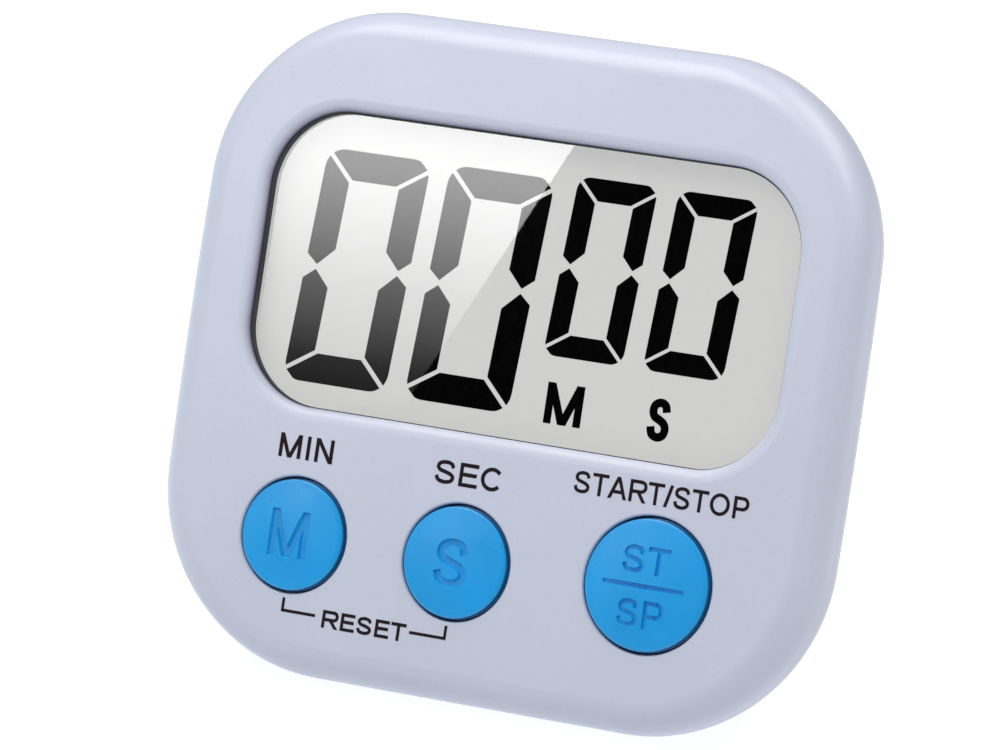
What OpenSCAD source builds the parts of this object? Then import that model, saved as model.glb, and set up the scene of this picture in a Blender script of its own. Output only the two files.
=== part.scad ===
// Digital kitchen timer that leans back on its tapered bottom edge and a fold-out stand.
// Every piece is drawn in a face frame: x to the right, y up the face, z out of the face,
// with the origin in the middle of the front face. place() then stands the timer up.

/* [Case] */
// Width of the case at its widest contour
case_w = 80; // [79:0.5:82]
// Height of the case at its widest contour
case_h = 73.8; // [73.6:0.2:75]
// Depth from the front face to the back face
case_t = 18; // [18:0.1:18.6]
// Corner radius of the widest contour
corner_r = 20.7; // [20.3:0.1:21.3]
// How far the left and right sides fall back at the top and bottom
side_bow = 0.8; // [0.2:0.1:0.9]
// Wall thickness of both shells
wall = 1.6; // [1.5:0.05:1.7]
// Radius of the rounded front edge
front_r = 3.5; // [3:0.1:3.8]
// Taper of the sides behind the widest contour, and the lean of the standing timer
lean = 22; // [21:0.5:23]

/* [Window] */
// Width of the window opening
window_w = 63.4; // [62:0.2:63.4]
// Height of the window opening
window_h = 32.6; // [31.6:0.2:32.6]
// Corner radius of the window opening
window_r = 9; // [7:0.5:10]
// Place of the window's middle to the right of the middle of the face
window_x = 0.4; // [0:0.1:0.5]
// Height of the window's middle above the middle of the face
window_y = 8.8; // [8.6:0.1:8.9]

/* [Buttons] */
// Radius of the holes for the minute and second buttons
small_hole_r = 6.4; // [6.2:0.05:6.5]
// Radius of the hole for the start and stop button
big_hole_r = 7.45; // [7.2:0.05:7.5]
// Radial gap between a button cap and its hole
button_gap = 0.35; // [0.3:0.01:0.4]
// How far a button cap stands out of the face
button_rise = 0.7; // [0.5:0.1:0.9]
// Bottom edge of the button holes, measured from the middle of the face
button_base_y = -27.9; // [-28.1:0.1:-27.8]
// Left to right places of the minute, second and start buttons
button_x = [-21.9, -2.1, 20.5];

/* [Stand and battery] */
// Width of the fold-out stand
stand_w = 30; // [26:1:30]
// Angle between the open stand and the back of the case
stand_open = 32; // [32:0.5:33]
// Diameter of the battery cell
cell_d = 10.5; // [10.1:0.1:10.5]
// Length of the battery cell without its positive nub
cell_body = 43.6; // [43:0.1:43.8]

/* [Hidden] */
$fn = 48;

// Case levels, as z in the face frame
split_z = -9;
back_z = -case_t;
back_in = back_z + wall;
widest_z = -5;
back_r = 3;
front_draft = 0.2;
arc_steps = 10;
fillet_step = 15;
tangent_z = back_z + back_r - back_r * sin(lean);
back_inset = (widest_z - tangent_z) * tan(lean) + back_r * cos(lean);
split_inset = (widest_z - split_z) * tan(lean);
far = 60;

// Cutting shapes run this far past the surface that they open
over = 1;

// Pieces inside the back shell grow out of its wall from this level
root_z = back_z + 1;

// Wall that stands on the back shell at the parting line, and reaches into the front shell
lip_gap = 0.08;
lip_t = 0.85;
lip_reach = 1.2;
lip_root = 2;

// Pairs of [inset from the widest contour, z] from the front face to the back face
profile = concat(
    [for (t = [0:fillet_step:90]) [front_draft + front_r * (1 - sin(t)), -front_r * (1 - cos(t))]],
    [[0, widest_z]],
    [for (k = [0:4]) let (t = lean + k * (90 - lean) / 4)
        [back_inset - back_r * cos(t), back_z + back_r - back_r * sin(t)]]);

// Stack behind the window, as z in the face frame
lens_back = -wall - 1;
polarizer_front = lens_back - 0.1;
glass_front = polarizer_front - 0.2;
glass_mid = glass_front - 0.7;
glass_back = glass_mid - 0.7;
board_front = -7;
board_t = 1.2;
board_back = board_front - board_t;
board_top_y = 8.8;
lcd_w = 65.2;
lcd_top = 26.1;
lcd_bottom = -11.2;

// Fasteners
board_post_at = [[-12, -15.8], [-12, -29.2], [8.7, -15.8], [8.7, -29.2]];
low_post_y = -14.6;
case_post_at = [[-30, low_post_y], [30, low_post_y], [-21, 28.8], [21, 28.8]];
board_post_r = 1.9;
case_post_r = 2.4;
back_post_r = 3;
board_pilot_r = 0.75;
case_pilot_r = 0.9;
board_pilot_depth = 4;
case_pilot_depth = 5.5;
screw_seat_z = -12.5;
screw_head_r = 1.9;
screw_head_t = 1.2;

// Buttons: one [x, y, hole radius] each for minutes, seconds and start
button_r = [small_hole_r, small_hole_r, big_hole_r];
buttons = [for (i = [0:2]) [button_x[i], button_base_y + button_r[i], button_r[i]]];
collar_z = -2.4;
collar_wall = 0.8;
flange_front = collar_z - 0.1;
flange_t = 0.8;
flange_w = 0.7;
cap_t = 1.2;
cap_wall = 1.1;
cap_crown = 0.12;
cap_edge = 0.5;
cap_post_r = 1.6;
switch_top = -3.6;
switch_floor = 0.9;
plunger_top = -2.7;
plunger_r = 1.75;
plunger_l = 2.5;
plunger_gap = 0.1;
switch_w = 6;

// Battery bay and door
cell_y = 16.6;
cell_z = back_z + 1.45 + cell_d / 2;
bay_x = 26;
bay_h = 11.4;
bay_front = cell_z + cell_d / 2 + 0.15;
bay_wall = 1.2;
bay_roof = 0.9;
plate_x = bay_x - 0.5;
plate_t = 0.3;
nub = 0.9;
nub_r = 1.9;
contact_w = 10;
contact_half_h = 4.6;
tab_low = [14, -12.7];
tab_high = [16, -12.3];
tab_x = 28.4;
tab_slot = [2.4, 3, 1.2];
door_w = 55.6;
door_h = 15.6;
door_t = 1.35;
door_gap = 0.2;
door_r = 1.5;
seat_half_w = 29;
seat_half_h = 9;
seat_t = 2.4;
hook_y = 4.5;
hook_w = 3;
hook_reach = 1.1;
hook_z = back_z + 0.9;
scoop_r = 3.4;
scoop_x = 29.6;
scoop_depth = 0.6;
grip_step = 1.2;

// Stand, its hinge axis and its recess in the back
hinge_y = 3.5;
hinge_z = back_z + 1.65;
peg_r = 1.25;
stand_t = 2.4;
stand_end = 2.1;
barrel_r = 1.6;
peg_l = 1.5;
peg_gap = 0.05;
recess_floor = back_z + 2.7;
recess_end_y = -31.1;
recess_top_y = hinge_y + 3;
recess_wall = 1.6;
recess_gap = 0.3;
trough_floor = hinge_z + 2.15;
trough_low_y = hinge_y - 2.6;
floor_t = 1.2;
cheek_w = 3.4;
cheek_half_h = 3;

// Buzzer, magnets and hanging hole
buzzer_at = [24.9, -1];
buzzer_r = 6;
magnet_at = [[-24.5, -22.8], [24.5, -22.8]];
magnet_r = 4.5;
magnet_t = 2;
magnet_wall = 1.1;
hang_y = 27.8;
hang_r = 1.8;
sound_hole_r = 0.6;
sound_ring_r = 2.4;

// Wire routes in the face frame, chosen by hand
red_route = [[28.2, 15, -12.5], [29.6, 13, -12.2], [29.8, 9, -11.4], [27, 6.5, -10.6],
    [24, 5.2, -9.8], [23, 5, -8.2]];
black_route = [[-28.2, 15, -12.5], [-29.6, 13, -12.2], [-29.8, 9, -11.4], [-27, 6.5, -10.6],
    [-24, 5.2, -9.8], [-23, 5, -8.2]];
buzzer_route_a = [[22.2, 1.6, -16.1], [21.4, 2.2, -14.6], [19.4, 1.4, -12],
    [18.4, 0.6, -9.8], [18.2, 0.4, -8.2]];
buzzer_route_b = [[25.4, -3.6, -15.9], [24.4, -4.6, -14.2], [21.6, -4.8, -12],
    [19.6, -4.4, -9.8], [19.2, -4.2, -8.2]];
wire_r = 0.5;

case_color = [0.86, 0.87, 0.91];
button_color = [0.16, 0.66, 0.93];

// ---- Shared shapes ----

// Outline of the case as a closed ring, moved inwards by inset. The point before the first
// arc and the one before the third are the middles of the right and left sides.
function outline(inset) = let (
        a = case_w / 2 - inset,
        b = case_h / 2 - inset,
        r = corner_r - inset)
    [for (q = [0:3], k = [(q == 0 || q == 2) ? -1 : 0:arc_steps]) let (
            t = 90 * (q + k / arc_steps),
            sx = (q == 0 || q == 3) ? 1 : -1,
            sy = (q < 2) ? 1 : -1,
            x = (k < 0) ? sx * a : sx * (a - r) + r * cos(t),
            y = (k < 0) ? 0 : sy * (b - r) + r * sin(t))
        [x - sx * side_bow * pow(2 * y / case_h, 2), y]];

// The same kind of ring for a plain rounded rectangle
function rounded(w, h, r) =
    [for (q = [0:3], k = [0:8]) let (
            t = 90 * (q + k / 8),
            sx = (q == 0 || q == 3) ? 1 : -1,
            sy = (q < 2) ? 1 : -1)
        [sx * (w / 2 - r) + r * cos(t), sy * (h / 2 - r) + r * sin(t)]];

// Closed skin through rings of equal length, listed from front to back
module loft(rings) {
    n = len(rings[0]);
    m = len(rings);
    polyhedron(
        points = [for (ring = rings, p = ring) p],
        faces = concat(
            [[for (j = [n - 1:-1:0]) j]],
            [for (i = [0:m - 2], j = [0:n - 1]) let (k = (j + 1) % n)
                [i * n + j, i * n + k, (i + 1) * n + k]],
            [for (i = [0:m - 2], j = [0:n - 1]) let (k = (j + 1) % n)
                [i * n + j, (i + 1) * n + k, (i + 1) * n + j]],
            [[for (j = [0:n - 1]) (m - 1) * n + j]]));
}

// Flat plate with the given outline between two levels
module slab(points, z_front, z_back) {
    translate([0, 0, z_back])
        linear_extrude(z_front - z_back)
            polygon(points);
}

// Round bar along z between two levels
module post(at, r, z_front, z_back) {
    translate([at[0], at[1], z_back])
        cylinder(r = r, h = z_front - z_back);
}

// Block given by its low and high corners
module block(low, high) {
    translate(low)
        cube(high - low);
}

// Smooth points through a hand-chosen route (Catmull-Rom)
function spline(p, steps) = let (last = len(p) - 1) concat(
    [for (i = [0:last - 1], k = [0:steps - 1]) let (
            t = k / steps,
            a = p[max(i - 1, 0)],
            b = p[i],
            c = p[i + 1],
            d = p[min(i + 2, last)])
        0.5 * (2 * b + (c - a) * t + (2 * a - 5 * b + 4 * c - d) * t * t
            + (3 * b - a - 3 * c + d) * t * t * t)],
    [p[last]]);

function unit(v) = v / norm(v);

// Eight-sided ring around point i of a path, square to the path
function wire_ring(path, i, r, up) = let (
        last = len(path) - 1,
        t = unit(path[min(i + 1, last)] - path[max(i - 1, 0)]),
        u = unit(cross(t, up)),
        v = cross(t, u))
    [for (k = [0:7]) path[i] + r * (cos(45 * k) * u + sin(45 * k) * v)];

module wire(path, r, up) {
    rings = [for (i = [0:len(path) - 1]) wire_ring(path, i, r, up)];
    loft([for (i = [len(rings) - 1:-1:0]) rings[i]]);
}

// Screw with its shank up to z_tip and a crossed pan head below z_seat
module screw(at, shank_r, head_r, head_t, z_tip, z_seat) {
    difference() {
        union() {
            post(at, shank_r, z_tip, z_seat - head_t / 2);
            post(at, head_r, z_seat, z_seat - head_t);
        }
        for (turn = [0, 90])
            translate([at[0], at[1], z_seat - head_t])
                rotate([0, 0, turn])
                    cube([head_r * 1.3, head_r * 0.3, head_t], center = true);
    }
}

// Stands a piece that was drawn in the face frame up on the floor
base_up = case_h / 2 * cos(lean) - widest_z * sin(lean);
face_to_back = concat(
    [for (p = profile) -(case_h / 2 - p[0]) * sin(lean) - p[1] * cos(lean)],
    [for (p = profile) (case_h / 2 - p[0]) * sin(lean) - p[1] * cos(lean)]);
base_back = -(min(face_to_back) + max(face_to_back)) / 2;
module place() {
    translate([0, base_back, base_up])
        rotate([90 - lean, 0, 0])
            children();
}

// ---- Case ----

module case_body() {
    loft([for (p = profile) [for (q = outline(p[0])) [q[0], q[1], p[1]]]]);
}

// Cavity: the same profile, moved in by the wall and squeezed between the two faces
module case_cavity() {
    squeeze = (case_t - 2 * wall) / case_t;
    loft([for (p = profile)
        [for (q = outline(p[0] + wall)) [q[0], q[1], p[1] * squeeze - wall]]]);
}

module front_case() {
    color(case_color) place() difference() {
        union() {
            difference() {
                case_body();
                case_cavity();
                block([-far, -far, -far], [far, far, split_z]);
            }
            for (b = buttons)
                post(b, b[2] + collar_wall, -wall / 2, collar_z);
            for (at = board_post_at)
                post(at, board_post_r, -wall / 2, board_front);
            for (at = case_post_at)
                post(at, case_post_r, -wall / 2, split_z);
        }
        translate([window_x, window_y, 0])
            slab(rounded(window_w, window_h, window_r), over, -wall - over);
        for (b = buttons)
            post(b, b[2], over, collar_z - over);
        for (at = board_post_at)
            post(at, board_pilot_r, board_front + board_pilot_depth, board_front - over);
        for (at = case_post_at)
            post(at, case_pilot_r, split_z + case_pilot_depth, split_z - over);
    }
}

module case_lip() {
    lip_out = split_inset + wall + lip_gap;
    difference() {
        slab(outline(lip_out), split_z + lip_reach, split_z - lip_root);
        slab(outline(lip_out + lip_t), split_z + lip_reach + over, split_z - lip_root - over);
    }
}

module back_blocks() {
    // Battery bay and the frame around its door
    block([-bay_x - bay_wall, cell_y - bay_h / 2 - bay_wall, root_z],
        [bay_x + bay_wall, cell_y + bay_h / 2 + bay_wall, bay_front + bay_roof]);
    block([-seat_half_w, cell_y - seat_half_h, root_z],
        [seat_half_w, cell_y + seat_half_h, back_z + seat_t]);
    // Floor of the stand's recess, with a deeper trough and two cheeks at its hinge
    half_w = stand_w / 2 + recess_wall;
    block([-half_w, recess_end_y - floor_t, root_z],
        [half_w, recess_top_y + floor_t, recess_floor + floor_t]);
    block([-half_w, trough_low_y - floor_t, root_z],
        [half_w, recess_top_y + floor_t, trough_floor + floor_t]);
    for (side = [-1, 1])
        translate([side * (stand_w / 2 + 2) - cheek_w / 2, 0, 0])
            block([0, hinge_y - cheek_half_h, root_z],
                [cheek_w, hinge_y + cheek_half_h, trough_floor + 0.65]);
    for (at = case_post_at)
        post(at, back_post_r, split_z - 0.05, root_z);
    for (at = magnet_at)
        post(at, magnet_r + magnet_wall, back_z + magnet_t + 0.8, root_z);
}

module stand_recess() {
    half_w = stand_w / 2 + recess_gap;
    block([-half_w, recess_end_y, back_z - over], [half_w, recess_top_y, recess_floor]);
    block([-half_w, trough_low_y, back_z - over], [half_w, recess_top_y, trough_floor]);
    // Nail notch under the stand's tip
    block([-6, recess_end_y - 6, back_z - over], [6, recess_end_y + over, recess_floor - 0.3]);
    peg_end = stand_w / 2 + peg_l + 0.4;
    translate([-peg_end, hinge_y, hinge_z])
        rotate([0, 90, 0])
            cylinder(r = peg_r + peg_gap, h = 2 * peg_end);
}

module battery_bay() {
    door_seat = rounded(door_w + 2 * door_gap, door_h + 2 * door_gap, door_r + door_gap);
    block([-bay_x, cell_y - bay_h / 2, back_z - over], [bay_x, cell_y + bay_h / 2, bay_front]);
    translate([0, cell_y, 0])
        slab(door_seat, back_z + door_t + 0.05, back_z - over);
    // Slots for the door's hooks, a scoop for a fingernail, and gaps for the contact tabs
    for (dy = [-hook_y, hook_y])
        block([-door_w / 2 - 1.5, cell_y + dy - hook_w / 2 - 0.3, hook_z - 0.05],
            [-door_w / 2 + 1.2, cell_y + dy + hook_w / 2 + 0.3, hook_z + 1.7]);
    post([scoop_x, cell_y], scoop_r, back_z + scoop_depth, back_z - over);
    for (side = [-1, 1])
        translate([side * (bay_x + 0.9), 15, -12.5])
            cube(tab_slot, center = true);
}

module back_case() {
    color(case_color) place() difference() {
        union() {
            difference() {
                case_body();
                case_cavity();
                block([-far, -far, split_z], [far, far, far]);
            }
            case_lip();
            intersection() {
                back_blocks();
                case_body();
            }
        }
        stand_recess();
        battery_bay();
        for (at = case_post_at) {
            post(at, case_pilot_r + 0.2, split_z + over, root_z);
            post(at, screw_head_r + 0.2, screw_seat_z, back_z - over);
        }
        for (at = magnet_at)
            post(at, magnet_r + 0.05, back_z + magnet_t + 0.1, back_z - over);
        post([0, hang_y], hang_r, back_in + over, back_z - over);
        post(buzzer_at, sound_hole_r, back_in + over, back_z - over);
        for (turn = [0:60:300])
            post(buzzer_at + sound_ring_r * [cos(turn), sin(turn)],
                sound_hole_r, back_in + over, back_z - over);
    }
}

// ---- Window and display ----

module window_lens() {
    color([0.8, 0.86, 0.9, 0.35]) place()
        translate([window_x, window_y, 0])
            slab(rounded(window_w + 2.8, window_h + 2.4, 7), -wall, lens_back);
}

module lcd_plate(bottom, top, z_front, z_back, side_cut) {
    w = lcd_w - 2 * side_cut;
    block([window_x - w / 2, bottom, z_back], [window_x + w / 2, top, z_front]);
}

module lcd_polarizer() {
    color([0.75, 0.77, 0.75, 0.6]) place()
        lcd_plate(-8.2, lcd_top - 0.4, polarizer_front, glass_front, 0.4);
}

module lcd_front_glass() {
    color([0.8, 0.84, 0.82, 0.5]) place()
        lcd_plate(lcd_bottom, lcd_top, glass_front, glass_mid, 0);
}

module lcd_rear_glass() {
    color([0.7, 0.74, 0.72, 0.5]) place()
        lcd_plate(-8.8, lcd_top, glass_mid, glass_back, 0);
}

module lcd_reflector() {
    color([0.78, 0.78, 0.77]) place()
        lcd_plate(-8.4, lcd_top - 0.4, glass_back, glass_back - 0.2, 0.4);
}

// Frame that holds the display, with a ledge behind its top and sides
module lcd_frame() {
    middle_y = (lcd_top + lcd_bottom) / 2;
    height = lcd_top - lcd_bottom;
    color("white") place() difference() {
        translate([window_x, middle_y, 0]) difference() {
            slab(rounded(lcd_w + 2.8, height + 2.2, 3.2), polarizer_front, board_front);
            slab(rounded(lcd_w + 0.3, height + 0.3, 0.6), polarizer_front + over, glass_back - 0.3);
            translate([0, -0.5, 0])
                slab(rounded(lcd_w - 2.2, height - 0.7, 0.6), glass_back, board_front - over);
        }
        for (at = case_post_at)
            post(at, case_post_r + 0.2, 0, split_z);
    }
}

module lcd_connector() {
    color([0.25, 0.22, 0.24]) place()
        block([-30, lcd_bottom + 0.3, board_front], [30, lcd_bottom + 2.3, glass_mid]);
}

// ---- Board ----

module circuit_board() {
    color([0.1, 0.42, 0.22]) place() difference() {
        slab(outline(5.2), board_front, board_back);
        block([-far, board_top_y, -far], [far, far, far]);
        for (at = board_post_at)
            post(at, 1, board_front + 1, board_back - 1);
        for (side = [-1, 1])
            translate([side * 33, low_post_y, board_front])
                cube([11.6, 5.8, 6], center = true);
    }
}

module board_screws() {
    color("silver") place()
        for (at = board_post_at)
            screw(at, board_pilot_r - 0.02, 1.5, 1, board_front + 2.4, board_back);
}

module chip_blob() {
    color([0.08, 0.08, 0.09]) place()
        intersection() {
            translate([-7, -2, board_back + 8.2])
                sphere(r = 9.6, $fn = 160);
            block([-20, -20, board_back - 5], [20, 20, board_back]);
        }
}

// Small can on two bent legs
module timing_crystal() {
    color("silver") place() {
        translate([5, 4.5, board_back - 1.3])
            rotate([0, 90, 0])
                cylinder(r = 1, h = 6);
        for (dy = [-0.45, 0.45]) {
            block([3.2, 4.5 + dy - 0.15, board_back - 1.45], [5.3, 4.5 + dy + 0.15, board_back - 1.15]);
            block([3.2, 4.5 + dy - 0.15, board_back - 1.4], [3.5, 4.5 + dy + 0.15, board_back]);
        }
    }
}

// Chip resistors and capacitors, each with its two end caps
module board_parts() {
    color([0.55, 0.45, 0.35]) place() {
        for (i = [0:3])
            block([1 + 3.2 * i, -4, board_back - 0.6], [3 + 3.2 * i, -2.8, board_back]);
        for (i = [0:2])
            block([-18, -4 + 3.5 * i, board_back - 1], [-15, -2.2 + 3.5 * i, board_back]);
    }
}

module switch_bases() {
    color([0.2, 0.2, 0.22]) place()
        for (b = buttons)
            difference() {
                translate([b[0], b[1], (board_front + switch_top) / 2])
                    cube([switch_w, switch_w, switch_top - board_front], center = true);
                post(b, plunger_r + plunger_gap, switch_top + over, board_front + switch_floor);
            }
}

// ---- Buttons ----

module plunger(b) {
    color([0.12, 0.12, 0.13]) place()
        post(b, plunger_r, plunger_top, plunger_top - plunger_l);
}

// Hollow cap with a low crown and a rounded rim, a flange under the case wall, and a post
// on the plunger
module button(b) {
    cap_r = b[2] - button_gap;
    inner_r = cap_r - cap_edge;
    rim_z = button_rise - cap_crown;
    crown = [for (k = [0:4]) [inner_r * k / 4, button_rise - cap_crown * pow(k / 4, 2)]];
    rim = [for (t = [75:-15:0]) [inner_r + cap_edge * cos(t), rim_z - cap_edge * (1 - sin(t))]];
    underside = button_rise - cap_t;
    back = flange_front - flange_t;
    color(button_color) place() translate([b[0], b[1], 0])
        rotate_extrude($fn = 96)
            polygon(concat(crown, rim,
                [[cap_r, flange_front], [cap_r + flange_w, flange_front],
                 [cap_r + flange_w, back], [cap_r - cap_wall, back], [cap_r - cap_wall, underside],
                 [cap_post_r, underside], [cap_post_r, plunger_top], [0, plunger_top]]));
}

module min_plunger() { plunger(buttons[0]); }
module sec_plunger() { plunger(buttons[1]); }
module start_plunger() { plunger(buttons[2]); }
module min_button() { button(buttons[0]); }
module sec_button() { button(buttons[1]); }
module start_button() { button(buttons[2]); }

// ---- Buzzer ----

module buzzer_disc() {
    color([0.8, 0.65, 0.3]) place()
        post(buzzer_at, buzzer_r, back_in + 0.25, back_in);
}

module buzzer_crystal() {
    color([0.93, 0.92, 0.88]) place()
        post(buzzer_at, 4.4, back_in + 0.45, back_in + 0.25);
}

module buzzer_leads() {
    color([0.75, 0.1, 0.1]) place() {
        wire(spline(buzzer_route_a, 4), 0.4, [1, 0, 0.2]);
        wire(spline(buzzer_route_b, 4), 0.4, [1, 0, 0.2]);
    }
}

// ---- Battery ----

module battery() {
    color([0.15, 0.15, 0.17]) place()
        translate([plate_x - nub - cell_body, cell_y, cell_z])
            rotate([0, 90, 0]) {
                cylinder(r = cell_d / 2, h = cell_body);
                cylinder(r = nub_r, h = cell_body + nub);
            }
}

// Coil that widens towards the cell, on a plate with a solder tab
module battery_spring() {
    x_plate = -bay_x + 0.35;
    x_cell = plate_x - nub - cell_body;
    turns = 4;
    coil = [for (k = [0:turns * 12]) let (s = k / (turns * 12))
        [x_plate + 0.2 + (x_cell - x_plate - 0.7) * s,
         cell_y + (3.8 - 1.6 * s) * cos(30 * k),
         cell_z + (3.8 - 1.6 * s) * sin(30 * k)]];
    color("silver") place() {
        wire(coil, 0.3, [1, 0, 0]);
        block([-bay_x, cell_y - contact_w / 2, cell_z - contact_half_h],
            [x_plate, cell_y + contact_w / 2, cell_z + contact_half_h]);
        block(concat([-tab_x], tab_low), concat([-bay_x + 0.1], tab_high));
    }
}

module battery_plate() {
    color("silver") place() {
        block([plate_x, cell_y - 3, cell_z - 3], [plate_x + plate_t, cell_y + 3, cell_z + 3]);
        block([plate_x, cell_y - contact_w / 2, cell_z - contact_half_h],
            [bay_x, cell_y - 3, cell_z + contact_half_h]);
        block(concat([plate_x + 0.1], tab_low), concat([tab_x], tab_high));
    }
}

module red_lead() {
    color([0.8, 0.1, 0.1]) place()
        wire(spline(red_route, 4), wire_r, [0.3, 0, 1]);
}

module black_lead() {
    color([0.1, 0.1, 0.1]) place()
        wire(spline(black_route, 4), wire_r, [0.3, 0, 1]);
}

// Door with two hooks at its left end and a latch tongue at its right end
module battery_door() {
    end_x = door_w / 2;
    tongue_half_h = 4;
    slit = 0.8;
    color(case_color) place() translate([0, cell_y, 0]) difference() {
        union() {
            slab(rounded(door_w, door_h, door_r), back_z + door_t, back_z);
            for (dy = [-hook_y, hook_y])
                block([-end_x - hook_reach, dy - hook_w / 2, hook_z],
                    [-end_x + 1, dy + hook_w / 2, back_z + door_t]);
        }
        for (side = [-tongue_half_h, tongue_half_h])
            block([end_x - 7, side - slit / 2, back_z - over],
                [end_x - 1, side + slit / 2, back_z + door_t + over]);
        for (i = [0:3])
            translate([end_x - 3 - grip_step * i, 0, 0])
                block([0, -2.6, back_z - over], [0.5, 2.6, back_z + 0.35]);
    }
}

// ---- Stand, magnets and case screws ----

module stand_folded() {
    half_w = stand_w / 2;
    top_y = hinge_y + stand_end;
    difference() {
        union() {
            block([-half_w, hinge_y - base_up, back_z], [half_w, top_y, back_z + stand_t]);
            // Rib along the end that stops the opening stand against the recess
            block([-half_w, top_y - 1, back_z + 1], [half_w, top_y, back_z + stand_t + 0.45]);
            translate([-half_w, hinge_y, hinge_z])
                rotate([0, 90, 0])
                    cylinder(r = barrel_r, h = stand_w);
            translate([-half_w - peg_l, hinge_y, hinge_z])
                rotate([0, 90, 0])
                    cylinder(r = peg_r, h = stand_w + 2 * peg_l);
        }
        // Two shallow pockets that lighten the plate on its hidden side
        for (side = [-1, 1])
            translate([side * 7, hinge_y - 15, back_z + stand_t])
                cube([11, 20, 1.6], center = true);
    }
}

module stand() {
    color(case_color) difference() {
        place() translate([0, hinge_y, hinge_z])
            rotate([stand_open, 0, 0])
                translate([0, -hinge_y, -hinge_z])
                    stand_folded();
        block([-far, -far, -far], [far, far, 0]);
    }
}

module magnets() {
    color("silver") place()
        for (at = magnet_at)
            post(at, magnet_r, back_z + magnet_t + 0.05, back_z + 0.05);
}

module case_screws() {
    color("silver") place()
        for (at = case_post_at)
            screw(at, case_pilot_r - 0.02, screw_head_r, screw_head_t, split_z + 4.5, screw_seat_z);
}

front_case();
back_case();
window_lens();
lcd_polarizer();
lcd_front_glass();
lcd_rear_glass();
lcd_reflector();
lcd_frame();
lcd_connector();
circuit_board();
board_screws();
chip_blob();
timing_crystal();
board_parts();
switch_bases();
min_plunger();
sec_plunger();
start_plunger();
min_button();
sec_button();
start_button();
buzzer_disc();
buzzer_crystal();
buzzer_leads();
battery();
battery_spring();
battery_plate();
red_lead();
black_lead();
battery_door();
stand();
magnets();
case_screws();
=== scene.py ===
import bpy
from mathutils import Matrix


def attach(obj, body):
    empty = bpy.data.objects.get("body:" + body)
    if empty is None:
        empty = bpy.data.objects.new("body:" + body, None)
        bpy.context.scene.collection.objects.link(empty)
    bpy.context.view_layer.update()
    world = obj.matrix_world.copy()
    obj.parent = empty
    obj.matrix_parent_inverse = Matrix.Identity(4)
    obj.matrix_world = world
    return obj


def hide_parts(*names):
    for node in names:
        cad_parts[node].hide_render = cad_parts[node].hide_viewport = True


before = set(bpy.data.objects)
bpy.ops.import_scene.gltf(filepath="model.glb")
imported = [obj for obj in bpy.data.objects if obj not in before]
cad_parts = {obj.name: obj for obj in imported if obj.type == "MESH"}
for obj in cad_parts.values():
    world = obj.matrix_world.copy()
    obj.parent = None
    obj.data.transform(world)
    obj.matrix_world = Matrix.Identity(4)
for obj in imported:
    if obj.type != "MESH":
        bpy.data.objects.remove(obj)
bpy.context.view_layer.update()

import math

import bmesh
import bpy
from mathutils import Matrix, Vector

# ---- Sizes in millimetres, in the face frame: x right, y up the face, z out of the face ----

CASE_W, CASE_H, CASE_T = 80.0, 73.8, 18.0
CORNER_R, SIDE_BOW, WALL, FRONT_R, BACK_R = 20.7, 0.8, 1.6, 3.5, 3.0
LEAN = math.radians(22)
WIDEST_Z, SPLIT_Z, BACK_Z = -5.0, -9.0, -CASE_T
FRONT_DRAFT, RIDGE_R = 0.2, 3.0
WINDOW_W, WINDOW_H, WINDOW_R, WINDOW_AT = 63.4, 32.6, 9.0, (0.4, 8.8)
# Gap round each button, and how far the buttons stand out of the face
GAP, RISE = 0.35, 0.7
# x, y and hole radius of each button
BUTTONS = {
    "min": (-21.9, -21.5, 6.4),
    "sec": (-2.1, -21.5, 6.4),
    "start": (20.5, -20.45, 7.45),
}
COLLAR_Z, COLLAR_WALL, FLANGE_FRONT, FLANGE_T, PLUNGER_TOP = -2.4, 0.8, -2.5, 0.8, -2.7
BOARD_FRONT = -7.0
BOARD_POSTS = [(-12, -15.8), (-12, -29.2), (8.7, -15.8), (8.7, -29.2)]
BOARD_POST_R, BOARD_PILOT_R, BOARD_PILOT_DEPTH = 1.9, 0.75, 4
CASE_POSTS = [(-30, -14.6), (30, -14.6), (-21, 28.8), (21, 28.8)]
CASE_POST_R, CASE_PILOT_R, CASE_PILOT_DEPTH = 2.4, 0.9, 5.5
SCREW_SEAT = -12.5
CELL_D, CELL_BODY, CELL_NUB, CELL_Y = 10.5, 43.6, 0.9, 16.6
CELL_Z = BACK_Z + 1.45 + CELL_D / 2
BAY_X, BAY_H, BAY_WALL = 26.0, 11.4, 1.2
BAY_FRONT = CELL_Z + CELL_D / 2 + 0.15
CELL_START = BAY_X - 0.5 - CELL_NUB - CELL_BODY
DOOR_W, DOOR_H, DOOR_T, HOOK_STEPS = 55.6, 15.6, 1.35, (-4.5, 4.5)
STAND_W, STAND_T, STAND_OPEN = 30.0, 2.4, 32.0
HINGE_Y, HINGE_Z, PEG_R = 3.5, BACK_Z + 1.65, 1.25
RECESS_FLOOR, RECESS_END, TROUGH_FLOOR = BACK_Z + 2.7, -31.1, HINGE_Z + 2.15
BUZZER_AT, MAGNETS, MAGNET_R, MAGNET_T = (24.9, -1), [(-24.5, -22.8), (24.5, -22.8)], 4.5, 2.0
HANG_Y, HANG_R = 27.8, 1.8
DIGIT_Z = -2.7
# How deep the rounded lip of the window goes, and how wide it is
LIP_DEPTH, LIP_W = 0.9, 1.5

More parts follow.
